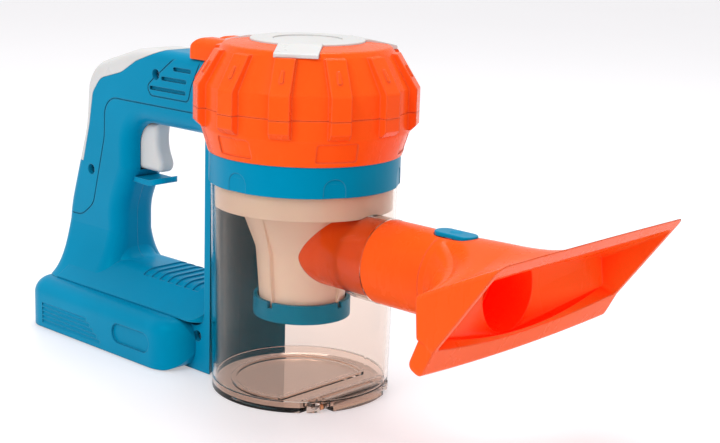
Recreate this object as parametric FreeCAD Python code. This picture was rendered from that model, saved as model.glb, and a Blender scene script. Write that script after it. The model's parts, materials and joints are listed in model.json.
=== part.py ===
import FreeCAD, Part
import math
import os

V = FreeCAD.Vector
os.makedirs("parts", exist_ok=True)

# Toy handheld vacuum cleaner, in millimetres.
# The origin is on the axis of the bin, on the surface that the object stands on.
# +X runs forward to the nozzle, +Z up, and the handle lies towards -X.

# Walls, fits and cuts
shell_wall = 2.2
clear_wall = 1.8
curved_gap = 0.3
slide_gap = 0.4
hole_fit = 0.05
overrun = 2.0
end_share = 0.95
corner_room_share = 0.98
groove_width = 0.7
groove_depth = 0.6
screw_head_radius = 2.6
screw_shank_radius = 1.2
screw_hole_radius = 3.1
screw_head_height = 1.8
driver_slot_width = 0.7
driver_slot_depth = 0.8

# Bin, base door and collar
bin_radius = 49.0
bin_foot_radius = 47.4
door_height = 5.6
door_floor = 2.0
door_rim_wall = 2.6
door_ridge_radius = 37.0
door_ridge_width = 2.6
door_ridge_height = 1.6
door_chord = 18.0
hinge_setback = 9.0
hinge_height = 2.5
hinge_pin_radius = 1.0
hinge_pin_half_length = 26.4
hinge_bar_reach = 2.4
hinge_edge_reach = 4.8
knuckle_radius = 2.0
knuckle_length = 2.8
knuckle_inner = 19.2
notch_inner = 18.9
notch_outer = 25.4
notch_top = 4.8
door_spring_radius = 1.6
door_spring_wire = 0.35
door_spring_turns = 3
collar_bottom = 111.9
collar_height = 15.8
collar_radius = 50.0
collar_wall = 2.6
collar_flange_radius = 44.0
collar_flange_height = 2.2
bin_insert = 4.0
bin_insert_gap = 0.1
arch_count = 6
arch_width = 11.5
arch_rise = 9.6
arch_depth = 0.6
arch_turn = -27.5
seal_width = 1.6
seal_height = 1.2

# Cyclone
cyclone_band = 12.5
cyclone_flange = 2.0
cyclone_wall = 1.6
cone_mouth_radius = 34.0
cone_waist_radius = 23.8
cone_waist_height = 62.0
cone_end_radius = 22.2
cone_end_height = 42.0
cone_belly_radius = 25.0
cone_belly_height = 76.0
cone_bend_radius = 14.0
ring_radius = 25.9
ring_height = 10.0
ring_bottom = 40.1
ring_notch = 3.0
rib_count = 4
rib_turn = -85.0
rib_thickness = 1.4
rib_reach = 2.4
outlet_radius = 24.0
filter_height = 3.0
filter_hole_radius = 1.3
filter_hole_pitch = 6.5

# Orange cap
cap_radius = 54.5
cap_foot_radius = 50.6
cap_skirt_height = 13.0
cap_seam_rise = 10.5
cap_seam_gap = 0.12
cap_side_rise = 11.8
cap_slope_rise = 17.3
cap_ledge_radius = 45.0
cap_crown_radius = 43.0
cap_crown_rise = 2.6
cap_top_rise = 1.7
cap_wall = 2.4
cap_rib_count = 12
cap_rib_width = 10.5
cap_rib_radius = 58.5
cap_rib_rise = 1.3
cap_rib_chamfer = 2.6
cap_rib_top_radius = 47.6
cap_rib_turn = 2.0
mark_length = 7.0
mark_width = 2.4
mark_height = 0.7
disc_radius = 29.7
disc_rise = 1.0
disc_thickness = 2.0
disc_recess_radius = 18.0
disc_recess_depth = 0.6
tab_count = 3
tab_turn = -52.0
tab_width = 22.0
tab_reach = 46.0
tail_reach = 76.5
tail_half_width = 15.5
tail_lift = 5.6
tail_height = 11.8
tail_cleft_width = 2.0
tail_lean = 4.0
tail_base_radius = 1.5
tail_rear_radius = 11.0
tail_plan_radius = 3.6
tail_top_radii = [5.2, 8.0]
skirt_recess_count = 6
skirt_recess_turn = -27.5
skirt_recess_width = 21.0
skirt_recess_depth = 0.7

# Motor and fan
plate_thickness = 2.4
inlet_radius = 13.0
fan_radius = 34.0
fan_height = 9.0
fan_disc = 1.4
fan_lift = 2.0
blade_count = 9
blade_thickness = 1.2
blade_shares = [0.8, 0.97, 0.6]
hub_radius = 5.0
shaft_radius = 1.0
shaft_depth = 10.0
bracket_rise = 5.3
bracket_thickness = 2.0
bracket_ledge = 8.0
motor_radius = 13.8
motor_height = 30.0
motor_boss_radius = 4.5
motor_boss_height = 3.0
motor_screw_circle = 9.0
bracket_screw_count = 3
bracket_vent_share = 0.85

# Handle
handle_half_width = 15.0
bridge_top = 170.3
bridge_bottom = 127.0
bridge_front = -40.0
bridge_bend = -120.0
corner_rear = -168.4
corner_drop = 30.3
grip_waist_rear = -171.4
grip_waist_height = 120.5
grip_low_rear = -189.0
grip_low_height = 66.0
grip_front_top = -129.0
grip_front_low = -139.5
grip_front_low_height = 74.0
handle_edge_radius = 6.0
window_edge_radius = 9.0
cavity_edge_inset = 3.4
cavity_window_inset = 6.0
bridge_corner_share = 0.75
window_shares = [1.5, 2.0, 0.6, 3.0, 1.0, 0.5]
spine_half_width = 28.5
spine_side_depth = 46.3
spine_rear = 59.5
spine_top = 141.0
web_rear = 66.0
web_height = 25.5
web_neck_height = 47.0
web_corner_radius = 8.0
grip_line_insets = [20.2, 19.8, 26.0, 15.0]
grip_line_rises = [12.3, -5.0, 7.0, -1.3]
grip_line_radii = [15.0, 30.0, 12.0, 12.0]
trim_bend_shares = [[0.8, 1.0], [0.8, 0.05], [-0.05, -0.26], [-0.5, -0.52]]
trim_corner_shares = [[0.45, 0.3], [0.21, 0.0]]
trim_waist_shares = [[0.19, 0.0], [-0.02, -0.75], [-2.0, -0.75], [-2.0, 2.6]]
trim_radius_shares = [0.0, 0.0, 0.3, 0.5, 0.4, 0.3, 1.0, 0.0, 0.0, 0.0]

# Foot
pod_rear = -190.5
pod_front = -53.0
pod_half_width = 45.5
pod_height = 28.4
pod_rear_radius = 15.0
pod_front_radius = 20.0
pod_top_radius = 9.5
pod_end_shares = [0.44, 0.42]
pod_wall = 2.4
pod_step = 2.2
pod_step_height = 12.0
crest_height = 43.0
crest_half_width = 13.0
crest_front_radius = 9.0
flare_half_width = 34.0
flare_height = 62.0
flare_rise_shares = [0.0, 0.24, 0.6, 1.0]
flare_width_shares = [1.0, 0.48, 0.14, -0.02]
flare_rear_insets = [2.0, 1.0, 0.5, 1.8]
flare_front_reaches = [12.0, 3.6, 0.5, -0.6]
flare_corner_share = 0.4
pad_rib_count = 7
pad_rib_pitch = 7.2
pad_rib_width = 2.2
pad_rib_depth = 0.9
pad_front = -63.0
side_recess_front = -73.0
side_recess_length = 33.0
side_recess_height = 11.5
side_recess_base = 7.2
side_recess_depth = 1.4
side_groove_count = 5
side_groove_pitch = 2.6
side_groove_radius = 1.2
side_groove_depth = 0.8
side_groove_front = -117.0
side_groove_rear = -173.0
side_groove_base = 3.8
side_groove_shift = 3.2

# Battery
cell_radius = 7.0
cell_length = 49.2
cell_tip_radius = 2.7
cell_tip_length = 1.3
cell_pitch = 16.0
cell_columns = 4
battery_front = -76.0
contact_thickness = 0.5
contact_width = 9.0
battery_spring_radius = 2.9
battery_spring_wire = 0.4
battery_spring_length = 5.0
battery_spring_turns = 4
partition_wall = 1.6
pod_floor = 3.6
door_plate_half_width = 35.0
door_plate_front = -70.0
door_plate_rear = -150.0
door_plate_thickness = 2.0
door_ledge = 2.5
door_boss_radius = 4.0
door_screw_setback = 7.0

# Trim, trigger and finger guard
trim_gap = 0.12
trigger_half_width = 5.5
trigger_top = 126.6
trigger_bottom = 98.0
trigger_front = -114.0
trigger_rear = -137.0
trigger_toe = 3.6
trigger_dip = 1.6
trigger_face_shares = [0.4, 0.16, 0.55]
trigger_corner_radius = 1.0
trigger_edge_radius = 3.3
trigger_pivot_x = -128.0
trigger_pivot_rise = 4.0
trigger_ear_radius = 4.2
trigger_pin_radius = 1.5
trigger_pin_length = 23.0
switch_gap = 2.3
switch_length = 9.0
switch_width = 8.0
switch_height = 14.0
switch_base = 108.0
switch_plunger = 1.4
wire_radius = 0.9
wire_reach = 3.75
wire_foot_x = -160.0
trigger_spring_radius = 2.4
trigger_spring_wire = 0.35
trigger_spring_height = 103.0
trigger_spring_turns = 6
guard_thickness = 3.0
guard_half_width = 8.5
guard_drop = 4.4
guard_reach = 108.0
guard_lip = 2.6
guard_curve_radius = 12.0
guard_tip_radius = 1.2
guard_shares = [0.3, 0.8, 0.7, 0.1]

# Vents and screws in the handle side
vent_height = 2.2
vent_depth = 1.6
vent_front = -74.0
vent_pitch = 6.2
vent_low = 148.8
vent_lengths = [31.0, 21.5, 15.0]
vent_setbacks = [4.5, 3.8, 0.0]
vent_line_shares = [
    [-6.21, 0.065], [-5.56, -0.77], [-0.32, -0.77], [0.08, 0.65], [1.29, 3.0], [0.97, 3.63],
    [-0.97, 3.37], [-2.42, 2.9], [-5.32, 0.81]]
vent_line_radius_shares = [0.65, 0.48, 0.48, 1.45, 0.65, 0.32, 0.97, 1.61, 0.48]
vent_line_limit_shares = [-7.3, 1.95, -0.95, 3.8]
side_screw_places = [[-104.0, 156.6], [-164.2, 93.7], [-51.6, 19.8]]
side_screw_depth = 5.0

# Inlet and nozzle
pipe_axis = 79.5
pipe_radius = 19.7
pipe_bore = 16.4
sleeve_wall = 1.8
sleeve_end = 61.0
pipe_end = 98.0
seal_ring_width = 2.0
seal_ring_depth = 0.9
spigot_length = 14.0
spigot_gap = 0.1
spigot_wall = 1.6
nozzle_radius = 21.5
nozzle_wall = 2.4
nozzle_straight = 4.0
bore_flare_radius = 19.2
horn_waist_x = 118.0
horn_waist_half_width = 35.0
horn_waist_low = 61.0
horn_waist_top = 94.0
horn_waist_corner = 15.0
horn_waist_crown = [[0.0, 7.6]]
horn_waist_sag = 3.0
horn_rear_top = [139.0, 92.2]
horn_rear_low = [140.5, 71.6]
horn_rear_half_width = 70.4
horn_rear_crown = [[0.0, 9.6], [12.0, 7.5], [24.0, 3.7], [38.0, 1.1]]
horn_rear_sag = 13.0
hood_bend_share = 0.42
hood_bend_crown = [[0.0, 0.6], [24.0, 0.3]]
mouth_half_width = 68.5
mouth_top = [179.7, 108.1]
mouth_low = [150.3, 69.4]
mouth_corner = 2.5
mouth_sag = 8.0
lip_rise = 7.3
lip_crown = [[0.0, 0.5]]
lip_corner = 5.0
hollow_rear_x = 135.6
hollow_rear_low = 60.5
hollow_rear_top = 92.0
hollow_rear_half_width = 19.4
hollow_rear_corner = 15.0
hollow_top = [142.5, 88.5]
hollow_low = [144.5, 72.5]
hollow_half_width = 66.0
hollow_crown = [[0.0, 2.0]]
foot_outline = [[141.5, 72.5], [136.0, 59.6], [142.6, 55.0], [150.5, 69.65]]
foot_middle = [[141.5, 67.0], [136.3, 56.6], [141.2, 52.5], [145.7, 63.25]]
foot_corner_radius = 8.0
foot_outline_radii = [0.0, 4.0, 3.0, 0.0]
foot_middle_radii = [0.0, 3.5, 2.0, 0.0]
button_length = 23.6
button_width = 11.0
button_height = 2.0
button_centre = 103.2
button_rise = 1.4
button_stem_radius = 2.0
button_dimple_radius = 9.0
button_dimple_depth = 0.8
button_spring_radius = 3.0
button_spring_wire = 0.15
button_spring_turns = 1

collar_top = collar_bottom + collar_height
skirt_top = collar_top + cap_skirt_height
cap_seam_height = skirt_top + cap_seam_rise
cap_shoulder_height = cap_seam_height + cap_side_rise
cap_ledge_height = cap_shoulder_height + cap_slope_rise
cap_crown_height = cap_ledge_height + cap_crown_rise
cap_top_height = cap_crown_height + cap_top_rise
disc_height = cap_top_height + disc_rise
cap_rib_bottom = skirt_top + cap_rib_rise
bracket_height = skirt_top + bracket_rise
corner_height = bridge_top - corner_drop
trigger_pivot_height = bridge_bottom + trigger_pivot_rise
guard_height = trigger_bottom - guard_drop
tail_bottom = cap_shoulder_height + tail_lift
tail_top = tail_bottom + tail_height
full_turn = 360.0


def save(name, shape):
    """Write one piece as its own file."""
    shape = shape.removeSplitter()
    shape.exportStep("parts/" + name + ".step")
    print(name, len(shape.Solids), "solids", round(shape.Volume, 1), "valid", shape.isValid())


def block(x_low, x_high, y_low, y_high, z_low, z_high):
    """Box between two corners."""
    return Part.makeBox(x_high - x_low, y_high - y_low, z_high - z_low, V(x_low, y_low, z_low))


def rod(radius, start, end):
    """Cylinder between two points."""
    run = end.sub(start)
    return Part.makeCylinder(radius, run.Length, start, run)


def upright(radius, z_low, z_high, x=0.0, y=0.0):
    """Cylinder along Z."""
    return rod(radius, V(x, y, z_low), V(x, y, z_high))


def tube(outer, inner, z_low, z_high, x=0.0, y=0.0):
    """Ring along Z."""
    hole = upright(inner, z_low - overrun, z_high + overrun, x, y)
    return upright(outer, z_low, z_high, x, y).cut(hole)


def rounded_edges(points, radii, to_space):
    """Closed outline through the points, with a tangent arc of its own radius at each corner."""
    count = len(points)
    starts = []
    middles = []
    ends = []
    for i in range(count):
        here = V(points[i][0], points[i][1], 0)
        before = V(points[i - 1][0], points[i - 1][1], 0).sub(here)
        after = V(points[(i + 1) % count][0], points[(i + 1) % count][1], 0).sub(here)
        half_turn = before.getAngle(after) / 2
        room = min(before.Length, after.Length) / 2 * corner_room_share
        reach = min(radii[i] / math.tan(half_turn), room)
        radius = reach * math.tan(half_turn)
        before.normalize()
        after.normalize()
        starts.append(here.add(before * reach))
        ends.append(here.add(after * reach))
        inward = before.add(after)
        if inward.Length > 0:
            inward.normalize()
        middles.append(here.add(inward * (radius / math.sin(half_turn) - radius)))
    edges = []
    for i in range(count):
        if radii[i] > 0:
            arc = Part.Arc(to_space(starts[i]), to_space(middles[i]), to_space(ends[i]))
            edges.append(arc.toShape())
        following = starts[(i + 1) % count]
        if ends[i].sub(following).Length > hole_fit / 10:
            edges.append(Part.LineSegment(to_space(ends[i]), to_space(following)).toShape())
    return Part.Wire(edges)


def side_slab(points, radii, y_low, y_high):
    """Outline in X and Z, given its thickness along Y."""
    wire = rounded_edges(points, radii, lambda p: V(p.x, y_low, p.y))
    return Part.Face(wire).extrude(V(0, y_high - y_low, 0))


def flat_slab(points, radii, z_low, z_high):
    """Outline in X and Y, given its thickness along Z."""
    wire = rounded_edges(points, radii, lambda p: V(p.x, p.y, z_low))
    return Part.Face(wire).extrude(V(0, 0, z_high - z_low))


def front_slab(points, radii, x_low, x_high):
    """Outline in Y and Z, given its thickness along X."""
    wire = rounded_edges(points, radii, lambda p: V(x_low, p.x, p.y))
    return Part.Face(wire).extrude(V(x_high - x_low, 0, 0))


def turned(points, radii):
    """Outline of radius and height, turned about the Z axis."""
    wire = rounded_edges(points, radii, lambda p: V(p.x, 0, p.y))
    return Part.Face(wire).revolve(V(0, 0, 0), V(0, 0, 1), full_turn)


def spun(shape, turn, centre=V(0, 0, 0)):
    """Copy turned about a vertical line."""
    copy = shape.copy()
    copy.rotate(centre, V(0, 0, 1), turn)
    return copy


def spread(shape, count, first_turn):
    """Copies at equal turns about the Z axis."""
    return [spun(shape, first_turn + full_turn / count * i) for i in range(count)]


def soften(shape, radius, chosen):
    """Round the edges that the test picks."""
    edges = [edge for edge in shape.Edges if chosen(edge)]
    return shape.makeFillet(radius, edges)


def helix(radius, wire, length, turns, base, direction):
    """Open wound spring of round wire, made of quarter turn arcs."""
    steps = turns * 4
    up = direction.normalize()
    side = V(0, 0, 1).cross(up)
    if abs(up.z) > end_share:
        side = V(1, 0, 0)
    side.normalize()
    across = up.cross(side)

    def point(quarters):
        angle = quarters * math.pi / 2
        around = side * (radius * math.cos(angle)) + across * (radius * math.sin(angle))
        return base + around + up * (length * quarters / steps)

    edges = [Part.Arc(point(i), point(i + 0.5), point(i + 1)).toShape() for i in range(steps)]
    path = Part.Wire(edges)
    start = point(0)
    tangent = edges[0].tangentAt(edges[0].FirstParameter)
    ring = Part.Wire([Part.makeCircle(wire, start, tangent)])
    return path.makePipeShell([ring], True, True)


def screw(base, direction, length):
    """Round head screw with a cross slot, its head's underside at base."""
    along = V(direction)
    along.normalize()
    head = Part.makeCylinder(screw_head_radius, screw_head_height, base, along)
    shank = Part.makeCylinder(screw_shank_radius, length, base, along * -1)
    slot_low = -screw_head_radius
    slot = Part.makeBox(
        2 * screw_head_radius, driver_slot_width, driver_slot_depth + overrun,
        V(slot_low, -driver_slot_width / 2, screw_head_height - driver_slot_depth))
    cross = slot.fuse(spun(slot, full_turn / 4))
    cross.Placement = FreeCAD.Placement(base, FreeCAD.Rotation(V(0, 0, 1), along))
    return head.fuse(shank).cut(cross)


# Bin tube, its base and the collar above it
tube_top = collar_bottom + bin_insert
hinge_x = bin_foot_radius - hinge_setback
door_edge_x = hinge_x - hinge_edge_reach


def bin_outer_radius(height):
    """The bin narrows a little towards its foot."""
    share = (height - door_height) / (collar_bottom - door_height)
    return bin_foot_radius + (bin_radius - bin_foot_radius) * share


def pipe_rod(radius, x_low, x_high):
    """Cylinder on the axis of the inlet pipe."""
    return rod(radius, V(x_low, 0, pipe_axis), V(x_high, 0, pipe_axis))


def make_bin_tube():
    """Clear tapered tube with a short sleeve round the inlet pipe."""
    foot = bin_outer_radius(door_height)
    top = bin_outer_radius(tube_top)
    base = V(0, 0, door_height)
    outer = Part.makeCone(foot, top, tube_top - door_height, base)
    core = Part.makeCone(foot - clear_wall, top - clear_wall, tube_top - door_height, base)
    sleeve = pipe_rod(pipe_radius + curved_gap + sleeve_wall, 0, sleeve_end)
    return outer.fuse(sleeve).cut(core).cut(pipe_rod(pipe_radius + curved_gap, 0, sleeve_end + overrun))


def front_of(x):
    """Everything of the base that lies ahead of x."""
    return block(x, 2 * bin_radius, -bin_radius, bin_radius, -overrun, door_height + overrun)


def make_base_door():
    """Floor of the bin with a rim, a D shaped ridge and two hinge knuckles."""
    top = door_height - hole_fit
    disc = upright(bin_foot_radius, 0, top)
    well = upright(bin_foot_radius - door_rim_wall, door_floor, door_height + overrun)
    ridge_top = door_floor + door_ridge_height
    ridge = tube(door_ridge_radius, door_ridge_radius - door_ridge_width, door_floor, ridge_top)
    half_chord = math.sqrt(door_ridge_radius ** 2 - door_chord ** 2)
    chord = block(
        door_chord - door_ridge_width, door_chord, -half_chord, half_chord, door_floor, ridge_top)
    edge_half = math.sqrt((bin_foot_radius - door_rim_wall) ** 2 - door_edge_x ** 2)
    edge = block(door_edge_x - door_rim_wall, door_edge_x, -edge_half, edge_half, 0, top)
    door = disc.cut(well).cut(front_of(door_edge_x))
    door = door.fuse([ridge.cut(front_of(door_chord)), chord, edge])
    for side in (-1, 1):
        ends = sorted([side * knuckle_inner, side * (knuckle_inner + knuckle_length)])
        knuckle = rod(
            knuckle_radius, V(hinge_x, ends[0], hinge_height), V(hinge_x, ends[1], hinge_height))
        arm = block(
            door_edge_x - door_rim_wall, hinge_x, ends[0], ends[1],
            hinge_height - knuckle_radius, hinge_height + knuckle_radius)
        door = door.fuse([knuckle, arm])
    return door.cut(hinge_bore(hinge_pin_radius + hole_fit))


def hinge_bore(radius):
    """Rod along the axis of the door hinge."""
    return rod(radius, V(hinge_x, -bin_radius, hinge_height), V(hinge_x, bin_radius, hinge_height))


def make_hinge_block():
    """Front segment of the base, fixed to the tube, which holds the hinge pin."""
    behind = block(
        -2 * bin_radius, hinge_x - hinge_bar_reach, -bin_radius, bin_radius,
        -overrun, door_height + overrun)
    disc = upright(bin_foot_radius, 0, door_height).cut(behind)
    inside = upright(bin_foot_radius - door_rim_wall, door_floor, door_height + overrun)
    inside = inside.cut(behind)
    bar = block(
        hinge_x - hinge_bar_reach, hinge_x + hinge_bar_reach, -notch_outer, notch_outer,
        0, door_height)
    lip_half = math.sqrt(bin_foot_radius ** 2 - hinge_x ** 2)
    lip = block(
        door_edge_x + curved_gap, hinge_x, -lip_half, lip_half,
        hinge_height + knuckle_radius + hole_fit, door_height)
    body = disc.cut(inside).fuse([bar, lip])
    for side in (-1, 1):
        ends = sorted([side * notch_inner, side * notch_outer])
        body = body.cut(block(
            hinge_x - hinge_edge_reach, bin_radius, ends[0], ends[1], -overrun, notch_top))
    return body.cut(hinge_bore(hinge_pin_radius))


def make_hinge_pin():
    """Steel pin through the block and both knuckles."""
    half = hinge_pin_half_length
    return rod(hinge_pin_radius, V(hinge_x, -half, hinge_height), V(hinge_x, half, hinge_height))


def make_door_spring():
    """Copper coloured coil round the pin, in the near notch."""
    room = notch_outer - knuckle_inner - knuckle_length - 2 * curved_gap
    length = room - 2 * door_spring_wire
    start = V(hinge_x, -(notch_outer - curved_gap - door_spring_wire), hinge_height)
    return helix(door_spring_radius, door_spring_wire, length, door_spring_turns, start, V(0, 1, 0))


def make_collar_ring():
    """Ring that joins the bin to the motor head, with arch marks round it."""
    top = collar_bottom + collar_height
    insert_radius = bin_outer_radius(tube_top) + bin_insert_gap
    insert_top = tube_top + cyclone_flange + seal_height
    ring = upright(collar_radius, collar_bottom, top)
    ring = ring.cut(upright(insert_radius, collar_bottom - overrun, insert_top))
    ring = ring.cut(upright(collar_radius - collar_wall, collar_bottom, top - collar_flange_height))
    ring = ring.cut(upright(collar_flange_radius, collar_bottom, top + overrun))
    half = arch_width / 2
    base = collar_bottom - overrun
    rise = collar_bottom + arch_rise
    arch = front_slab(
        [[-half, base], [half, base], [half, rise], [-half, rise]],
        [0, 0, half * end_share, half * end_share],
        collar_radius - arch_depth, collar_radius + overrun)
    for mark in spread(arch, arch_count, arch_turn):
        ring = ring.cut(mark)
    return ring


def make_bin_seal():
    """Rubber ring between the cyclone's flange and the collar."""
    base = tube_top + cyclone_flange
    outer = bin_outer_radius(tube_top)
    return tube(outer, outer - clear_wall - seal_width, base, base + seal_height)


# Cyclone body inside the bin
band_bottom = collar_bottom - cyclone_band
band_radius = bin_outer_radius(band_bottom) - clear_wall - curved_gap


def cone_solid(inset):
    """Solid of the cone, drawn in by an inset."""
    points = [
        [0, cone_end_height - overrun * (inset > 0)],
        [cone_end_radius - inset, cone_end_height - overrun * (inset > 0)],
        [cone_waist_radius - inset, cone_waist_height],
        [cone_belly_radius - inset, cone_belly_height],
        [cone_mouth_radius - inset, band_bottom],
        [0, band_bottom]]
    return turned(points, [0, 0, cone_bend_radius, cone_bend_radius, 0, 0])


def make_cyclone():
    """Cream body: flange, band, cone and upright ribs."""
    flange_top = tube_top + cyclone_flange
    outer = cone_solid(0).fuse([
        upright(band_radius, band_bottom, tube_top),
        upright(bin_outer_radius(tube_top), tube_top, flange_top)])
    band_floor = band_bottom + cyclone_wall
    inner = cone_solid(cyclone_wall).fuse([
        upright(cone_mouth_radius - cyclone_wall, band_bottom - hole_fit, band_floor),
        upright(band_radius - cyclone_wall, band_floor, tube_top),
        upright(outlet_radius, tube_top - overrun, flange_top + overrun)])
    reach = rib_reach
    rib = side_slab(
        [[0, ring_bottom + ring_height], [cone_end_radius + reach, ring_bottom + ring_height],
         [cone_waist_radius + reach, cone_waist_height],
         [cone_belly_radius + reach, cone_belly_height],
         [cone_mouth_radius, band_bottom], [0, band_bottom]],
        [0, 0, cone_bend_radius, cone_bend_radius, 0, 0], -rib_thickness / 2, rib_thickness / 2)
    near_pipe = pipe_rod(pipe_radius + curved_gap, 0, bin_radius).cut(cone_solid(0))
    ribs = [place.cut(near_pipe) for place in spread(rib, rib_count, rib_turn)]
    body = outer.fuse(ribs).cut(inner)
    return body.cut(pipe_rod(pipe_bore, 0, bin_radius))


def make_cone_ring():
    """Teal ring round the cone's foot, notched where the ribs end."""
    top = ring_bottom + ring_height
    ring = tube(ring_radius, cone_end_radius + cyclone_wall, ring_bottom, top)
    lip = tube(ring_radius, cone_end_radius - cyclone_wall, ring_bottom, cone_end_height)
    ring = ring.fuse(lip)
    cut = block(
        cone_end_radius, ring_radius + overrun, -ring_notch / 2, ring_notch / 2,
        top - ring_notch, top + overrun)
    for mark in spread(cut, rib_count, rib_turn):
        ring = ring.cut(mark)
    return ring


def make_filter_disc():
    """Round screen over the cyclone's outlet."""
    base = tube_top + cyclone_flange
    disc = upright(outlet_radius + filter_height, base, base + filter_height)
    reach = outlet_radius - filter_hole_pitch / 2
    rows = int(reach / filter_hole_pitch) + 1
    holes = []
    for i in range(-rows, rows + 1):
        for j in range(-rows, rows + 1):
            x = i * filter_hole_pitch
            y = j * filter_hole_pitch
            if math.hypot(x, y) < reach:
                holes.append(upright(
                    filter_hole_radius, base - overrun, base + filter_height + overrun, x, y))
    return disc.cut(holes)


# Orange cap and the white disc on it
bracket_screw_reach = (
    cap_radius - cap_wall - bin_insert_gap - clear_wall - screw_head_radius - curved_gap)


def cap_body(inset, low):
    """Solid of the whole cap from a height up, drawn in by an inset."""
    foot = cap_foot_radius - inset
    side = cap_radius - inset
    drop = inset
    points = [
        [0, low], [foot, low], [side, skirt_top], [side, cap_shoulder_height],
        [cap_ledge_radius - inset, cap_ledge_height - drop / 2],
        [cap_crown_radius - inset, cap_crown_height - drop],
        [disc_radius, cap_top_height - drop], [0, cap_top_height - drop]]
    return turned(points, [0, 0, 0, cap_wall, 0, cap_wall, 0, 0])


def cap_ribs():
    """Upright grip ribs round the cap, slanting in over the shoulder."""
    root = cap_radius - cap_wall
    half = cap_rib_width / 2
    rib = side_slab(
        [[root, cap_rib_bottom], [cap_rib_radius - cap_rib_chamfer, cap_rib_bottom],
         [cap_rib_radius, cap_rib_bottom + cap_rib_chamfer], [cap_rib_radius, cap_shoulder_height],
         [cap_rib_top_radius, cap_ledge_height], [cap_ledge_radius - cap_wall, cap_ledge_height],
         [root, cap_shoulder_height]],
        [0, 0, 0, cap_wall, 0, 0, 0], -half, half)
    return spread(rib, cap_rib_count, cap_rib_turn)


def above(height):
    """Half space above a height."""
    reach = 4 * cap_radius
    return block(-reach, reach, -reach, reach, height, height + reach)


def below(height):
    """Half space below a height."""
    reach = 4 * cap_radius
    return block(-reach, reach, -reach, reach, height - reach, height)


def make_cap_lower(handle):
    """Skirt and lower half of the ribs, with a ledge that carries the motor bracket."""
    top = cap_seam_height - cap_seam_gap / 2
    shell = cap_body(0, collar_top).cut(cap_body(cap_wall, collar_top - hole_fit))
    shell = shell.cut(below(collar_top))
    ledge = tube(
        cap_radius - cap_wall, cap_radius - cap_wall - bracket_ledge,
        bracket_height - bracket_thickness, bracket_height)
    hole = upright(
        screw_shank_radius, bracket_height - 2 * bracket_thickness, bracket_height,
        bracket_screw_reach)
    ledge = ledge.cut(spread(hole, bracket_screw_count, cap_rib_turn))
    lower = shell.fuse(cap_ribs()).cut(above(top)).fuse(ledge)
    half = skirt_recess_width / 2
    recess_low = collar_top + cap_wall
    recess_high = skirt_top - cap_wall / 2
    cutter = front_slab(
        [[-half, recess_low], [half, recess_low], [half, recess_high], [-half, recess_high]],
        [cap_wall / 2] * 4, 0, 2 * cap_radius)
    skin = cap_body(-overrun, collar_top).cut(cap_body(skirt_recess_depth, collar_top - hole_fit))
    for mark in spread(cutter, skirt_recess_count, skirt_recess_turn):
        lower = lower.cut(mark.common(skin))
    return lower.cut(handle)


def tail_solid():
    """Two rounded lobes of the cap that lie side by side over the handle's bridge."""
    reach = tail_reach
    root = cap_ledge_radius / 2
    low = tail_bottom
    top = tail_top
    side = side_slab(
        [[-reach, low], [-root, low], [-root, top], [tail_lean - reach, top]],
        [tail_base_radius, 0, 0, tail_rear_radius], 0, tail_half_width)
    near = tail_cleft_width / 2
    far = tail_half_width
    turn = tail_plan_radius
    plan = flat_slab(
        [[-reach, near], [-root, near], [-root, far], [-reach, far]], [turn, 0, 0, turn], low, top)
    inner_radius, outer_radius = tail_top_radii
    front = front_slab(
        [[near, low], [far, low], [far, top], [near, top]], [0, 0, outer_radius, inner_radius],
        -reach - overrun, 0)
    lobe = side.common(plan).common(front)
    return lobe.fuse(lobe.mirror(V(0, 0, 0), V(0, 1, 0)))


def tab_sector(width, start, stop, low, high):
    """Straight tab that runs outwards from the white disc."""
    return block(start, stop, -width / 2, width / 2, low, high)


def make_cap_upper(handle):
    """Crown of the cap with the upper half of the ribs, rear lobes and slots for the tabs."""
    low = cap_seam_height + cap_seam_gap / 2
    lip_low = cap_seam_height - cap_wall
    shell = cap_body(0, collar_top).fuse(tail_solid()).cut(cap_body(cap_wall, collar_top - hole_fit))
    upper = shell.fuse(cap_ribs()).cut(below(low))
    inner_radius = cap_radius - cap_wall - bin_insert_gap
    upper = upper.fuse([
        tube(inner_radius, inner_radius - clear_wall, lip_low, low + cap_wall),
        tube(cap_radius - cap_wall / 2, inner_radius - clear_wall, low, low + cap_wall)])
    slope = math.degrees(math.atan2(
        cap_ledge_height - cap_shoulder_height, cap_rib_radius - cap_rib_top_radius))
    mid_radius = (cap_rib_radius + cap_rib_top_radius) / 2
    mid_height = (cap_ledge_height + cap_shoulder_height) / 2
    half = mark_length / 2
    mark = flat_slab(
        [[-half, -mark_width / 4], [half, -mark_width / 2], [half, mark_width / 2],
         [-half, mark_width / 4]],
        [mark_width / 4, mark_width / 2 * end_share, mark_width / 2 * end_share, mark_width / 4],
        -mark_height, mark_height)
    mark.rotate(V(0, 0, 0), V(0, 1, 0), slope)
    mark.translate(V(mid_radius, 0, mid_height))
    marks = spread(mark, cap_rib_count, cap_rib_turn)
    upper = upper.fuse(marks)
    seat_low = disc_height - disc_thickness
    upper = upper.cut(upright(disc_radius + bin_insert_gap, seat_low, disc_height + overrun))
    tab_low = cap_ledge_height
    slot = tab_sector(tab_width + 2 * bin_insert_gap, 0, 2 * cap_radius, tab_low, disc_height + overrun)
    for place in spread(slot, tab_count, tab_turn):
        upper = upper.cut(place)
    return upper.cut(handle)


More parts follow.
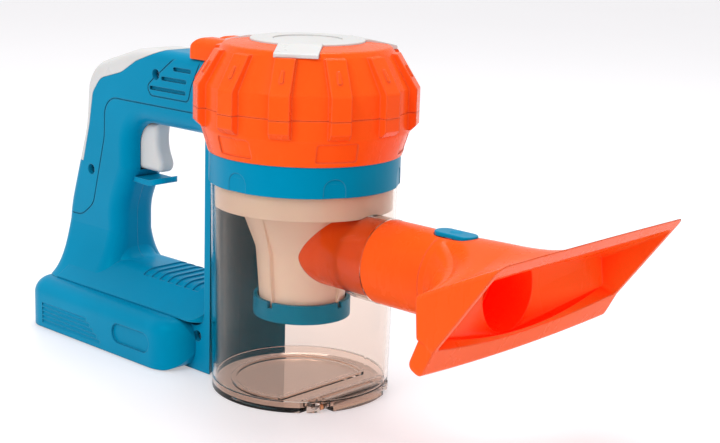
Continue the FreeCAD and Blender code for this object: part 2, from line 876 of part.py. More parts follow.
def make_top_disc():
    """White disc with a round recess and tabs that run down between the ribs."""
    disc = upright(disc_radius, disc_height - disc_thickness, disc_height)
    rim = soften(disc, disc_recess_depth, lambda edge: edge.BoundBox.ZMin > disc_height - hole_fit)
    tab = side_slab(
        [[0, cap_ledge_height + bin_insert_gap], [tab_reach, cap_ledge_height + bin_insert_gap],
         [tab_reach, cap_ledge_height + disc_thickness], [disc_radius, disc_height],
         [0, disc_height]],
        [0, 0, disc_thickness / 2, disc_thickness, 0], -tab_width / 2, tab_width / 2)
    inside = upright(
        disc_radius - disc_thickness, cap_ledge_height - overrun, disc_height - disc_thickness)
    tabs = [place.cut(inside) for place in spread(tab, tab_count, tab_turn)]
    recess = upright(disc_recess_radius, disc_height - disc_recess_depth, disc_height + overrun)
    return rim.fuse(tabs).cut(recess)


# Motor and fan
fan_low = collar_top + plate_thickness + fan_lift
motor_low = bracket_height + bracket_thickness


def make_motor_plate():
    """Floor of the fan chamber, with the air inlet."""
    radius = cap_foot_radius - cap_wall - curved_gap
    return tube(radius, inlet_radius, collar_top, collar_top + plate_thickness)


def make_impeller():
    """Fan wheel with swept blades."""
    disc = upright(fan_radius, fan_low + fan_height - fan_disc, fan_low + fan_height)
    hub = upright(hub_radius, fan_low, fan_low + fan_height)
    blade = block(
        hub_radius * blade_shares[0], fan_radius * blade_shares[1], -blade_thickness / 2,
        blade_thickness / 2,
        fan_low, fan_low + fan_height)
    blade.translate(V(0, hub_radius * blade_shares[2], 0))
    blade = blade.common(upright(fan_radius, fan_low, fan_low + fan_height))
    wheel = disc.fuse([hub] + spread(blade, blade_count, 0))
    return wheel.cut(upright(shaft_radius, fan_low - overrun, fan_low + fan_height + overrun))


def make_shaft():
    """Motor shaft that carries the impeller."""
    return upright(shaft_radius, fan_low, motor_low + shaft_depth)


def make_bracket():
    """Plate that hangs the motor inside the cap."""
    radius = cap_radius - cap_wall - curved_gap
    plate = upright(radius, bracket_height, motor_low)
    hole = upright(motor_boss_radius + curved_gap, bracket_height - overrun, motor_low + overrun)
    plate = plate.cut(hole)
    for side in (-1, 1):
        x = side * motor_screw_circle
        plate = plate.cut(upright(screw_shank_radius, bracket_height - overrun, motor_low + overrun, x))
    vent = upright(
        motor_radius / 2, bracket_height - overrun, motor_low + overrun,
        fan_radius * bracket_vent_share)
    for place in spread(vent, 2 * bracket_screw_count, full_turn / (4 * bracket_screw_count)):
        plate = plate.cut(place)
    hole = upright(
        screw_shank_radius, bracket_height - overrun, motor_low + overrun, bracket_screw_reach)
    for place in spread(hole, bracket_screw_count, cap_rib_turn):
        plate = plate.cut(place)
    return plate


def make_motor():
    """Closed can with a boss through the bracket."""
    can = upright(motor_radius, motor_low, motor_low + motor_height)
    can = soften(can, motor_boss_radius / 3, lambda edge: edge.BoundBox.ZMin > motor_low + hole_fit)
    boss = upright(motor_boss_radius, motor_low - motor_boss_height, motor_low)
    body = can.fuse(boss)
    body = body.cut(upright(shaft_radius + hole_fit, motor_low - motor_boss_height - overrun,
                            motor_low + shaft_depth + hole_fit))
    for side in (-1, 1):
        x = side * motor_screw_circle
        body = body.cut(upright(
            screw_shank_radius, motor_low - overrun, motor_low + 2 * screw_head_height, x))
    return body


def make_motor_screws():
    """Two screws up through the bracket into the motor."""
    screws = []
    for side in (-1, 1):
        base = V(side * motor_screw_circle, 0, bracket_height)
        screws.append(screw(base, V(0, 0, -1), bracket_thickness + screw_head_height))
    return Part.makeCompound(screws)


def make_bracket_screws():
    """Screws that hold the bracket on the cap's ledge."""
    base = V(bracket_screw_reach, 0, motor_low)
    one = screw(base, V(0, 0, 1), 2 * bracket_thickness)
    return Part.makeCompound(spread(one, bracket_screw_count, cap_rib_turn))


# Handle loop: bridge, grip and spine
def loop_outline(inset):
    """Outer outline of the handle loop in X and Z, drawn in by an inset."""
    points = [
        [bridge_front, bridge_top - inset],
        [bridge_bend, bridge_top - inset],
        [corner_rear + inset, corner_height + (bridge_top - corner_height) / 2 - inset],
        [grip_waist_rear + inset, grip_waist_height],
        [grip_low_rear + inset, grip_low_height],
        [pod_rear + inset, pod_height],
        [bridge_front, pod_height]]
    bend = bridge_top - corner_height
    return points, [0, 2 * bend, bend * bridge_corner_share, 2 * bend, 3 * bend, 0, 0]


def window_outline(outset):
    """Outline of the hand opening in X and Z, grown by an outset."""
    points = [
        [-spine_rear + outset, bridge_bottom + outset],
        [grip_front_top - outset, bridge_bottom + outset],
        [grip_front_top - outset, trigger_bottom],
        [grip_front_low - outset, grip_front_low_height],
        [grip_front_low - outset, crest_height - outset],
        [-spine_rear + outset, crest_height - outset]]
    return points, [window_edge_radius * share for share in window_shares]


def loop_solid(inset, outset, half):
    """Slab of the handle loop and the hand opening to cut out of it."""
    points, radii = loop_outline(inset)
    slab = side_slab(points, radii, -half, half)
    points, radii = window_outline(outset)
    return slab, side_slab(points, radii, -2 * half, 2 * half)


def rounded_loop():
    """Handle loop with its long edges rounded."""
    slab, window = loop_solid(0, 0, handle_half_width)
    low = pod_height + hole_fit
    front = bridge_front - hole_fit

    def outer_edge(edge):
        box = edge.BoundBox
        flat = box.YMax - box.YMin < hole_fit
        return flat and not (box.ZMax < low or box.XMin > front)

    slab = soften(slab, handle_edge_radius, outer_edge)
    ring = slab.cut(window)

    def inner_edge(edge):
        box = edge.BoundBox
        flat = box.YMax - box.YMin < hole_fit
        side = abs(abs(box.YMax) - handle_half_width) < hole_fit
        inside = box.XMin > grip_front_low - hole_fit and box.XMax < -spine_rear + hole_fit
        span = box.ZMin > crest_height - hole_fit and box.ZMax < bridge_bottom + hole_fit
        return flat and side and inside and span

    return soften(ring, window_edge_radius, inner_edge)


def flare_solid(inset):
    """Foot of the grip, which widens smoothly down to the pod."""
    sections = []
    for i in range(len(flare_rise_shares)):
        height = pod_height + (flare_height - pod_height) * flare_rise_shares[i]
        rear = pod_rear + flare_rear_insets[i]
        front = grip_front_low + flare_front_reaches[i]
        spread_half = (flare_half_width - handle_half_width) * flare_width_shares[i]
        half = handle_half_width + spread_half - inset
        growth = (half - handle_half_width) * flare_corner_share
        rear_corner = handle_edge_radius + growth
        front_corner = window_edge_radius + growth
        points = [
            [rear + inset, -half], [front - inset, -half], [front - inset, half], [rear + inset, half]]
        radii = [rear_corner, front_corner, front_corner, rear_corner]
        sections.append(rounded_edges(points, radii, lambda p: V(p.x, p.y, height)))
    return Part.makeLoft(sections, True, False)


def crest_solid(inset):
    """Finger bar that joins the grip to the spine along the foot."""
    half = flare_half_width - inset
    top = crest_height - inset
    low = pod_height
    points = [
        [-half, low], [-half, low + overrun / 2], [-crest_half_width, top], [crest_half_width, top],
        [half, low + overrun / 2], [half, low]]
    turn = crest_half_width
    rear = pod_rear + flare_half_width / 2
    front = -spine_side_depth - inset
    bar = front_slab(points, [0, 0, turn, turn, 0, 0], rear, front)
    plan = flat_slab(
        [[rear, -half], [front, -half], [front, half], [rear, half]],
        [0, crest_front_radius, crest_front_radius, 0], low, crest_height)
    return bar.common(plan)


def web_solid(inset):
    """Flat sided web of the spine that runs back into the foot."""
    half = spine_half_width - inset
    points = [
        [bridge_front, 0], [-web_rear, 0], [-web_rear, web_height], [-spine_side_depth, web_height],
        [-spine_side_depth, web_neck_height], [bridge_front, web_neck_height]]
    return side_slab(
        shifted(points, inset), [0, 0, 0, web_corner_radius, 0, 0], -half, half)


def spine_solid(inset):
    """Column behind the bin."""
    half = spine_half_width - inset
    side = spine_side_depth - inset
    rear = spine_rear - inset
    line_a = Part.LineSegment(V(bridge_front / 2, -half, 0), V(-side, -half, 0)).toShape()
    curve = Part.Arc(V(-side, -half, 0), V(-rear, 0, 0), V(-side, half, 0)).toShape()
    line_b = Part.LineSegment(V(-side, half, 0), V(bridge_front / 2, half, 0)).toShape()
    line_c = Part.LineSegment(V(bridge_front / 2, half, 0), V(bridge_front / 2, -half, 0)).toShape()
    face = Part.Face(Part.Wire([line_a, curve, line_b, line_c]))
    column = face.extrude(V(0, 0, spine_top - inset))
    return column


def head_envelope(gap):
    """Space of the motor head, collar and bin, grown by a gap."""
    head = cap_body(-gap, collar_top)
    return head.fuse(upright(collar_radius + gap, -overrun, collar_top + overrun))


def shifted(points, inset):
    """Outline points moved inwards, each side by the same amount."""
    count = len(points)
    area = sum(
        points[i - 1][0] * points[i][1] - points[i][0] * points[i - 1][1] for i in range(count))
    sign = 1 if area > 0 else -1
    moved = []
    for i in range(count):
        here = V(points[i][0], points[i][1], 0)
        first = here.sub(V(points[i - 1][0], points[i - 1][1], 0)).normalize()
        second = V(points[(i + 1) % count][0], points[(i + 1) % count][1], 0).sub(here).normalize()
        normal_a = V(-first.y, first.x, 0) * sign
        normal_b = V(-second.y, second.x, 0) * sign
        middle = normal_a.add(normal_b).normalize()
        step = inset / middle.dot(normal_a)
        moved.append([here.x + middle.x * step, here.y + middle.y * step])
    return moved


def side_grooves(points, radii, limits):
    """Fine line engraved on both flat sides of the handle, inside a box in X and Z."""
    whole = side_slab(points, radii, -handle_half_width - overrun, handle_half_width + overrun)
    core = side_slab(
        shifted(points, groove_width), radii, -handle_half_width - overrun, handle_half_width + overrun)
    skin = handle_half_width - groove_depth
    line = whole.cut(core).cut(block(
        2 * pod_rear, -pod_front, -skin, skin, -overrun, disc_height))
    return line.common(block(
        limits[0], limits[1], -2 * handle_half_width, 2 * handle_half_width, limits[2], limits[3]))


def handle_outer():
    """Whole outer form of the handle, with the room of the head and bin left free."""
    body = rounded_loop().fuse([flare_solid(0), crest_solid(0), spine_solid(0), web_solid(0)])
    body = body.cut(head_envelope(bin_insert_gap))
    clear_bin = upright(collar_radius + slide_gap, -overrun, collar_top - slide_gap)
    return body.cut(clear_bin)


def loop_cavity():
    """Hollow of the handle loop, which stays clear of the rounded edges."""
    slab, window = loop_solid(
        cavity_edge_inset, cavity_window_inset, handle_half_width - shell_wall)
    return slab.cut(window)


def handle_cavity():
    """Hollow inside the handle shells."""
    spine = spine_solid(shell_wall).cut(below(shell_wall))
    room = loop_cavity().fuse([
        flare_solid(shell_wall), crest_solid(shell_wall), spine, web_solid(shell_wall)])
    return room.cut(head_envelope(shell_wall + bin_insert_gap))


def screw_side(place):
    """Half width of the handle at a side screw."""
    return spine_half_width if place[1] < pod_height else handle_half_width


def side_screw_bosses():
    """Posts between the two shells at each side screw."""
    posts = []
    for place in side_screw_places:
        half = screw_side(place) - shell_wall / 2
        radius = screw_hole_radius + groove_width
        posts.append(rod(radius, V(place[0], -half, place[1]), V(place[0], half, place[1])))
    return [post.cut(head_envelope(bin_insert_gap)) for post in posts]


def side_screw_holes():
    """Round recesses for the screw heads and holes for the shanks."""
    holes = []
    for place in side_screw_places:
        face = -screw_side(place)
        seat = face + side_screw_depth
        holes.append(rod(
            screw_hole_radius, V(place[0], face - overrun, place[1]), V(place[0], seat, place[1])))
        holes.append(rod(
            screw_shank_radius, V(place[0], seat, place[1]),
            V(place[0], seat + 2 * side_screw_depth, place[1])))
    return holes


def make_side_screws():
    """Screws that hold the two handle shells together."""
    screws = []
    for place in side_screw_places:
        seat = side_screw_depth - screw_side(place)
        screws.append(screw(V(place[0], seat, place[1]), V(0, -1, 0), 2 * side_screw_depth))
    return Part.makeCompound(screws)


def vent_slots():
    """Three level slots in each side of the bridge."""
    slots = []
    half = vent_height / 2
    for i in range(len(vent_lengths)):
        high = vent_low + i * vent_pitch
        front = vent_front - vent_setbacks[i]
        rear = front - vent_lengths[i]
        points = [
            [rear, high - half], [front, high - half], [front, high + half], [rear, high + half]]
        for side in (-1, 1):
            ends = sorted([side * (handle_half_width - vent_depth), side * (handle_half_width + overrun)])
            slots.append(side_slab(points, [half * end_share] * 4, ends[0], ends[1]))
    return slots


def trim_region(gap):
    """Area in X and Z that the white rear trim covers, drawn in by a gap."""
    bend = bridge_top - corner_height
    places = [
        [bridge_bend, bridge_top, trim_bend_shares], [corner_rear, corner_height, trim_corner_shares],
        [grip_waist_rear, grip_waist_height, trim_waist_shares]]
    points = []
    for x, z, table in places:
        points.extend([[x + bend * share[0], z + bend * share[1]] for share in table])
    radii = [bend * share for share in trim_radius_shares]
    return side_slab(
        shifted(points, gap), radii, -2 * handle_half_width, 2 * handle_half_width)


def make_rear_trim():
    """White cover over the rear top corner of the handle."""
    return rounded_loop().cut(loop_cavity()).common(trim_region(trim_gap))


def panel_grooves():
    """Line round the inner part of the grip and line round the vents."""
    insets = grip_line_insets
    rises = grip_line_rises
    top = bridge_bottom + rises[0]
    low = grip_low_height + rises[3]
    grip_line = [
        [bridge_front, crest_height], [bridge_front, top], [grip_waist_rear + insets[0], top],
        [grip_waist_rear + insets[1], grip_waist_height + rises[1]],
        [grip_low_rear + insets[2], grip_low_height + rises[2]],
        [grip_low_rear + insets[3], low], [2 * pod_rear, low], [2 * pod_rear, crest_height]]
    margin = handle_edge_radius
    grip = side_grooves(
        grip_line, [0, 0] + grip_line_radii + [0, 0],
        [grip_low_rear + margin, -spine_rear - margin, grip_low_height - margin, bridge_top])
    vent_line = [
        [vent_front + vent_pitch * share[0], vent_low + vent_pitch * share[1]]
        for share in vent_line_shares]
    limits = vent_line_limit_shares
    vent = side_grooves(
        vent_line, [vent_pitch * share for share in vent_line_radius_shares],
        [vent_front + vent_pitch * limits[0], vent_front + vent_pitch * limits[1],
         vent_low + vent_pitch * limits[2], vent_low + vent_pitch * limits[3]])
    return [grip, vent]


def trigger_slot():
    """Room for the trigger and its pivot ear."""
    half = trigger_half_width + slide_gap
    rear = grip_front_top - window_edge_radius
    grip_slot = block(
        rear, trigger_front + trigger_toe + slide_gap, -half, half, trigger_bottom - slide_gap,
        bridge_bottom)
    top_slot = block(
        rear, trigger_pivot_x, -half, half, bridge_bottom - overrun, bridge_bottom + shell_wall / 2)
    ear_half = trigger_half_width / 2 + slide_gap
    reach = trigger_ear_radius + slide_gap
    ear_slot = block(
        trigger_pivot_x - reach, trigger_pivot_x + reach, -ear_half, ear_half,
        bridge_bottom - overrun, trigger_pivot_height + reach)
    return [grip_slot, top_slot, ear_slot]


def trigger_pin_posts():
    """Sockets in both shells for the trigger pin."""
    posts = []
    for side in (-1, 1):
        inner = side * (trigger_half_width / 2 + slide_gap)
        outer = side * (handle_half_width - shell_wall / 2)
        posts.append(rod(
            2 * trigger_pin_radius, V(trigger_pivot_x, inner, trigger_pivot_height),
            V(trigger_pivot_x, outer, trigger_pivot_height)))
    return posts


switch_front = trigger_rear - switch_plunger - switch_gap
switch_rear = switch_front - switch_length


def switch_rib():
    """Rib in the grip that backs the switch and the trigger spring."""
    half = handle_half_width - shell_wall / 2
    low = trigger_spring_height - 2 * trigger_spring_radius
    return block(
        switch_rear - 1.5 * shell_wall, switch_rear, -half, half, low, switch_base + switch_height)


def make_handle_shells():
    """Both halves of the handle, split at the middle plane."""
    outer = handle_outer()
    shell = outer.cut(handle_cavity())
    inside = [post.common(outer) for post in side_screw_bosses()]
    shell = shell.fuse(inside + trigger_pin_posts() + [switch_rib()])
    cuts = side_screw_holes() + vent_slots() + panel_grooves() + trigger_slot()
    cuts.append(rod(
        trigger_pin_radius, V(trigger_pivot_x, -trigger_pin_length / 2, trigger_pivot_height),
        V(trigger_pivot_x, trigger_pin_length / 2, trigger_pivot_height)))
    cuts.append(trim_region(0))
    cuts.append(make_finger_guard())
    cuts.extend(pad_grooves())
    cuts.extend(wire_rods(wire_radius + curved_gap))
    shell = shell.cut(cuts)
    reach = 2 * spine_half_width + flare_half_width
    right = shell.common(block(2 * pod_rear, 0, -reach, 0, -overrun, disc_height))
    left = shell.common(block(2 * pod_rear, 0, 0, reach, -overrun, disc_height))
    return right, left, outer


def pad_grooves():
    """Valleys between the grip ribs across the finger bar."""
    cuts = []
    reach = crest_half_width + 2 * pad_rib_width
    for i in range(pad_rib_count):
        middle = pad_front - (i + 0.5) * pad_rib_pitch
        low = middle - (pad_rib_pitch - pad_rib_width) / 2
        high = middle + (pad_rib_pitch - pad_rib_width) / 2
        band = block(low, high, -reach, reach, pod_height, crest_height + overrun)
        cuts.append(band.common(crest_solid(0)).cut(crest_solid(pad_rib_depth)))
    return cuts


def make_trigger():
    """White trigger with a hollowed finger face and a pivot ear."""
    front = trigger_front
    height = trigger_top - trigger_bottom
    toe, low, high = trigger_face_shares
    corner = trigger_corner_radius
    points = [
        [trigger_rear, trigger_top], [trigger_rear, trigger_bottom],
        [front + trigger_toe * toe, trigger_bottom],
        [front + trigger_toe, trigger_bottom + low * height],
        [front - trigger_dip, trigger_bottom + high * height], [front, trigger_top]]
    body = side_slab(
        points, [corner, corner, 2 * trigger_dip, 2 * trigger_toe, height, 0], -trigger_half_width,
        trigger_half_width)
    body = soften(
        body, trigger_edge_radius,
        lambda edge: edge.BoundBox.YMax - edge.BoundBox.YMin < hole_fit
        and edge.BoundBox.XMax > grip_front_top and edge.BoundBox.ZMin < trigger_top - hole_fit)
    half = trigger_half_width / 2
    ear = rod(
        trigger_ear_radius, V(trigger_pivot_x, -half, trigger_pivot_height),
        V(trigger_pivot_x, half, trigger_pivot_height))
    neck = block(
        trigger_pivot_x - trigger_ear_radius, trigger_pivot_x + trigger_ear_radius, -half, half,
        trigger_top - overrun, trigger_pivot_height)
    hole = rod(
        trigger_pin_radius + hole_fit, V(trigger_pivot_x, -handle_half_width, trigger_pivot_height),
        V(trigger_pivot_x, handle_half_width, trigger_pivot_height))
    return body.fuse([ear, neck]).cut(hole)


def make_trigger_pin():
    """Steel pin of the trigger."""
    half = trigger_pin_length / 2
    return rod(
        trigger_pin_radius, V(trigger_pivot_x, -half, trigger_pivot_height),
        V(trigger_pivot_x, half, trigger_pivot_height))


def make_switch():
    """Push switch behind the trigger."""
    half = switch_width / 2
    body = block(switch_rear, switch_front, -half, half, switch_base, switch_base + switch_height)
    plunger = block(
        switch_front, switch_front + switch_plunger, -half / 2, half / 2,
        switch_base + switch_height / 2, switch_base + switch_height - switch_plunger)
    return body.fuse(plunger)


def wire_rods(radius):
    """Two rods inside the grip from the foot up to the switch."""
    rods = []
    for side in (-1, 1):
        y = side * wire_reach
        start = V(wire_foot_x, y, pod_height + wire_radius / 2)
        end = V(switch_rear + 2 * wire_radius, y, switch_base - wire_radius / 4)
        rods.append(rod(radius, start, end))
    return rods


def make_wires():
    """Pair of wires that climb inside the grip from the foot to the switch."""
    return Part.makeCompound(wire_rods(wire_radius))


def make_trigger_spring():
    """Coil that returns the trigger."""
    length = trigger_rear - switch_rear - 2 * trigger_spring_wire - 2 * hole_fit
    start = V(switch_rear + trigger_spring_wire + hole_fit, 0, trigger_spring_height)
    return helix(
        trigger_spring_radius, trigger_spring_wire, length, trigger_spring_turns, start, V(1, 0, 0))


def make_finger_guard():
    """Thin curved blade under the trigger."""
    tip = -guard_reach
    root = grip_front_top - 2 * shell_wall
    low = guard_height - guard_thickness
    bend = tip - 4 * guard_lip
    dip, toe, back, sink = [guard_lip * share for share in guard_shares]
    points = [
        [root, low], [bend, low - dip], [tip, low + toe], [tip - back, guard_height + toe],
        [bend, guard_height - sink], [root, guard_height]]
    radii = [0, guard_curve_radius, guard_tip_radius, guard_tip_radius, guard_curve_radius, 0]
    half = guard_half_width
    blade = side_slab(points, radii, -half, half)
    plan = flat_slab(
        [[root, -half], [tip, -half], [tip, half], [root, half]],
        [0, half * end_share, half * end_share, 0], low - 2 * guard_lip, guard_height + 4 * guard_lip)
    return blade.common(plan)


# Battery pod
def pod_solid(inset):
    """Rounded pod of the foot, drawn in by an inset."""
    rear = pod_rear + inset
    front = pod_front - inset
    half = pod_half_width - inset
    top = pod_height - inset
    rear_corner = pod_rear_radius - inset
    front_corner = pod_front_radius - inset
    plan = flat_slab(
        [[rear, -half], [front, -half], [front, half], [rear, half]],
        [rear_corner, front_corner, front_corner, rear_corner], -overrun, top)
    plan = soften(
        plan, pod_top_radius - inset, lambda edge: edge.BoundBox.ZMin > top - hole_fit)
    step = rear + pod_step
    side = side_slab(
        [[rear, pod_step_height], [rear, top], [front, top], [front, 0], [step, 0],
         [step, pod_step_height]],
        [pod_step / 2, 0, pod_height * pod_end_shares[0], pod_height * pod_end_shares[1], pod_step, 0],
        -2 * pod_half_width, 2 * pod_half_width)
    return plan.common(side)


partition_front = battery_front
partition_rear = (
    battery_front - 2 * contact_thickness - cell_tip_length - cell_length - battery_spring_length)
cell_height = door_plate_thickness + curved_gap + cell_radius + contact_thickness
door_screw_x = door_plate_rear + door_screw_setback


def cell_rows():
    """Y of each battery cell."""
    first = -cell_pitch * (cell_columns - 1) / 2
    return [first + i * cell_pitch for i in range(cell_columns)]


def make_battery_case(handle):
    """Hollow pod with partitions, a boss for the door screw and an opening below."""
    room = pod_solid(pod_wall).cut(below(pod_floor))
    case = pod_solid(0).cut(room)
    half = pod_half_width
    core = pod_solid(pod_wall / 2)
    for low in (partition_front, partition_rear - partition_wall):
        wall = block(low, low + partition_wall, -half, half, pod_floor, pod_height)
        case = case.fuse(wall.common(core))
    boss = upright(
        door_boss_radius, door_plate_thickness + hole_fit, pod_height - pod_wall / 2, door_screw_x)
    hole_rear = door_plate_rear + 2 * door_ledge + 2 * door_boss_radius
    opening = block(
        hole_rear, door_plate_front - door_ledge, door_ledge - door_plate_half_width,
        door_plate_half_width - door_ledge, -overrun, pod_floor + overrun)
    opening = opening.cut(block(
        partition_front, partition_front + partition_wall, -half, half, pod_floor, pod_height))
    recess = block(
        door_plate_rear - slide_gap, door_plate_front + slide_gap, -door_plate_half_width - slide_gap,
        door_plate_half_width + slide_gap, -overrun, door_plate_thickness + hole_fit)
    case = case.fuse(boss).cut([opening, recess])
    case = case.cut(upright(
        screw_shank_radius + hole_fit, -overrun, pod_floor + 2 * side_screw_depth, door_screw_x))
    case = case.cut(side_details())
    return case.cut(handle)


def side_details():
    """Slot shaped recess and level grooves on both sides of the pod."""
    cuts = []
    rear = side_recess_front - side_recess_length
    top = side_recess_base + side_recess_height
    radius = side_recess_height / 2 * end_share
    recess = [
        [rear, side_recess_base], [side_recess_front, side_recess_base], [side_recess_front, top],
        [rear, top]]
    for side in (-1, 1):
        ends = sorted([side * (pod_half_width - side_recess_depth), side * (pod_half_width + overrun)])
        cuts.append(side_slab(recess, [radius] * 4, ends[0], ends[1]))
        y = side * (pod_half_width + side_groove_radius - side_groove_depth)
        for i in range(side_groove_count):
            z = side_groove_base + i * side_groove_pitch
            front = side_groove_front - i * side_groove_shift
            cuts.append(rod(side_groove_radius, V(side_groove_rear, y, z), V(front, y, z)))
    return cuts


def make_battery_door():
    """Flat cover under the cells, with a pocket for its screw."""
    plate = flat_slab(
        [[door_plate_rear, -door_plate_half_width], [door_plate_front, -door_plate_half_width],
         [door_plate_front, door_plate_half_width], [door_plate_rear, door_plate_half_width]],
        [door_ledge] * 4, 0, door_plate_thickness)
    pocket = upright(
        screw_hole_radius, -overrun, door_plate_thickness - groove_depth, door_screw_x)
    shank = upright(screw_shank_radius, 0, door_plate_thickness + overrun, door_screw_x)
    return plate.cut([pocket, shank])


def make_door_screw():
    """Screw that holds the battery door."""
    seat = door_plate_thickness - groove_depth
    head = seat - groove_depth / 2
    shank = upright(screw_shank_radius, seat, seat + side_screw_depth, door_screw_x)
    disc = upright(screw_head_radius, seat - head, seat, door_screw_x)
    slot = block(
        door_screw_x - screw_head_radius, door_screw_x + screw_head_radius,
        -driver_slot_width / 2, driver_slot_width / 2, -overrun, seat - head + driver_slot_depth / 2)
    return disc.fuse(shank).cut([slot, spun(slot, full_turn / 4, V(door_screw_x, 0, 0))])


def make_cells():
    """Round battery cells side by side."""
    cells = []
    front = battery_front - contact_thickness
    for y in cell_rows():
        tip = front - cell_tip_length
        body = rod(cell_radius, V(tip - cell_length, y, cell_height), V(tip, y, cell_height))
        button = rod(cell_tip_radius, V(tip, y, cell_height), V(front, y, cell_height))
        cells.append(body.fuse(button))
    return Part.makeCompound(cells)


def make_contacts():
    """Sheet metal contacts at both ends of the cells."""
    plates = []
    half = contact_width / 2
    low = cell_height - half
    high = cell_height + half
    for y in cell_rows():
        plates.append(block(
            battery_front - contact_thickness, battery_front, y - half, y + half, low, high))
        plates.append(block(
            partition_rear, partition_rear + contact_thickness, y - half, y + half, low, high))
    return Part.makeCompound(plates)


def make_battery_springs():
    """Coils that press on the cells' flat ends."""
    coils = []
    wire = battery_spring_wire
    start = partition_rear + contact_thickness + wire
    length = battery_spring_length - 2 * wire
    for y in cell_rows():
        coils.append(helix(
            battery_spring_radius, wire, length, battery_spring_turns,
            V(start, y, cell_height), V(1, 0, 0)))
    return Part.makeCompound(coils)


# Inlet pipe, nozzle and release button
spigot_radius = pipe_bore + spigot_wall
spigot_end = pipe_end + spigot_length
pipe_top = pipe_axis + nozzle_radius
pocket_floor = pipe_top - button_height


def button_oval(gap, low, high):
    """Oval of the release button, grown by a gap."""
    x = button_length / 2 + gap
    y = button_width / 2 + gap
    return flat_slab(
        [[button_centre - x, -y], [button_centre + x, -y], [button_centre + x, y],
         [button_centre - x, y]],
        [y * end_share] * 4, low, high)


def make_inlet_pipe():
    """Pipe from the cone through the bin wall, with a collar and a spigot for the nozzle."""
    pipe = pipe_rod(pipe_radius, 0, pipe_end)
    collar = pipe_rod(nozzle_radius, sleeve_end + bin_insert_gap, pipe_end)
    spigot = pipe_rod(spigot_radius, pipe_end - overrun, spigot_end)
    body = pipe.fuse([collar, spigot])
    body = body.cut([
        pipe_rod(pipe_bore, -overrun, spigot_end + overrun), cone_solid(-bin_insert_gap),
        button_oval(curved_gap, pocket_floor, pipe_top + overrun).cut(
            block(pipe_end, 2 * pipe_end, -nozzle_radius, nozzle_radius, pipe_axis, 2 * pipe_axis)),
        upright(button_stem_radius + curved_gap, pipe_axis, pipe_top + overrun, button_centre)])
    ring_low = spigot_end - 2 * seal_ring_width
    groove = pipe_rod(spigot_radius + overrun, ring_low, ring_low + seal_ring_width)
    groove = groove.cut(pipe_rod(spigot_radius - seal_ring_depth, ring_low, ring_low + seal_ring_width))
    return body.cut(groove)


def make_pipe_seal():
    """Rubber ring in the spigot's groove."""
    ring_low = spigot_end - 2 * seal_ring_width
    ring = pipe_rod(spigot_radius + spigot_gap / 2, ring_low, ring_low + seal_ring_width)
    return ring.cut(pipe_rod(spigot_radius - seal_ring_depth, ring_low, ring_low + seal_ring_width))


def round_section(radius, x):
    """Circle round the pipe axis in eight arcs, which start half a side before the top."""
    step = math.radians(full_turn / 8)
    edges = []
    for i in range(8):
        turns = [step * (i + part) for part in (1.5, 2, 2.5)]
        spots = [V(x, radius * math.cos(turn), pipe_axis + radius * math.sin(turn)) for turn in turns]
        edges.append(Part.Arc(*spots).toShape())
    return Part.Wire(edges)


def bowed(start, stop, middles):
    """Edge between two points, straight or through the points given between them."""
    if not middles:
        return Part.LineSegment(start, stop).toShape()
    curve = Part.BSplineCurve()
    curve.interpolate([start] + middles + [stop])
    return curve.toShape()


def wide_section(low, high, half, corners, crown, sag):
    """Rounded rectangle across the nozzle in eight edges, in step with the round sections.

    The low and high points are its middle line in X and Z.
    The crown is a list of places across and rises that lift the top edge on both sides.
    The sag lowers the middle of the bottom edge.
    """
    base = V(low[0], 0, low[1])
    up = V(high[0], 0, high[1]).sub(base)
    rise = up.Length
    up.normalize()

    def spot(across, lift):
        return base + V(0, across, 0) + up * lift

    top, bottom = corners
    places = [[half, rise, top], [-half, rise, top], [-half, 0, bottom], [half, 0, bottom]]
    lifted = [spot(across, rise + lift) for across, lift in reversed(crown)]
    lifted += [spot(-across, rise + lift) for across, lift in crown[1:]]
    middles = [lifted, [], [spot(0, -sag)] if sag > 0 else [], []]
    edges = []
    for i in range(4):
        here = places[i]
        there = places[(i + 1) % 4]
        beyond = places[(i + 2) % 4]
        run = V(there[0] - here[0], there[1] - here[1], 0).normalize()
        turn = V(beyond[0] - there[0], beyond[1] - there[1], 0).normalize()
        start = spot(here[0] + run.x * here[2], here[1] + run.y * here[2])
        stop = spot(there[0] - run.x * there[2], there[1] - run.y * there[2])
        follow = spot(there[0] + turn.x * there[2], there[1] + turn.y * there[2])
        bulge = there[2] * (1 - math.sqrt(1 / 2))
        bend = spot(there[0] + (turn.x - run.x) * bulge, there[1] + (turn.y - run.y) * bulge)
        edges.append(bowed(start, stop, middles[i]))
        edges.append(Part.Arc(stop, bend, follow).toShape())
    return Part.Wire(edges)


def mouth_line(grow, lift, out):
    """Ends in X and Z of the mouth's slanted middle line, drawn out at both ends."""
    up = V(mouth_top[0] - mouth_low[0], mouth_top[1] - mouth_low[1], 0).normalize()
    low = [mouth_low[0] - up.x * grow + up.y * out, mouth_low[1] - up.y * grow - up.x * out]
    high = [mouth_top[0] + up.x * lift + up.y * out, mouth_top[1] + up.y * lift - up.x * out]
    return low, high


def mouth_section(grow, lift, corners, crown, sag, out):
    """Outline in the slanted plane of the mouth, grown all round and lifted at the top."""
    low, high = mouth_line(grow, lift, out)
    return wide_section(low, high, mouth_half_width + grow, corners, crown, sag)


def between(start, stop, share):
    """Point part of the way from one to the other."""
    return [here + (there - here) * share for here, there in zip(start, stop)]


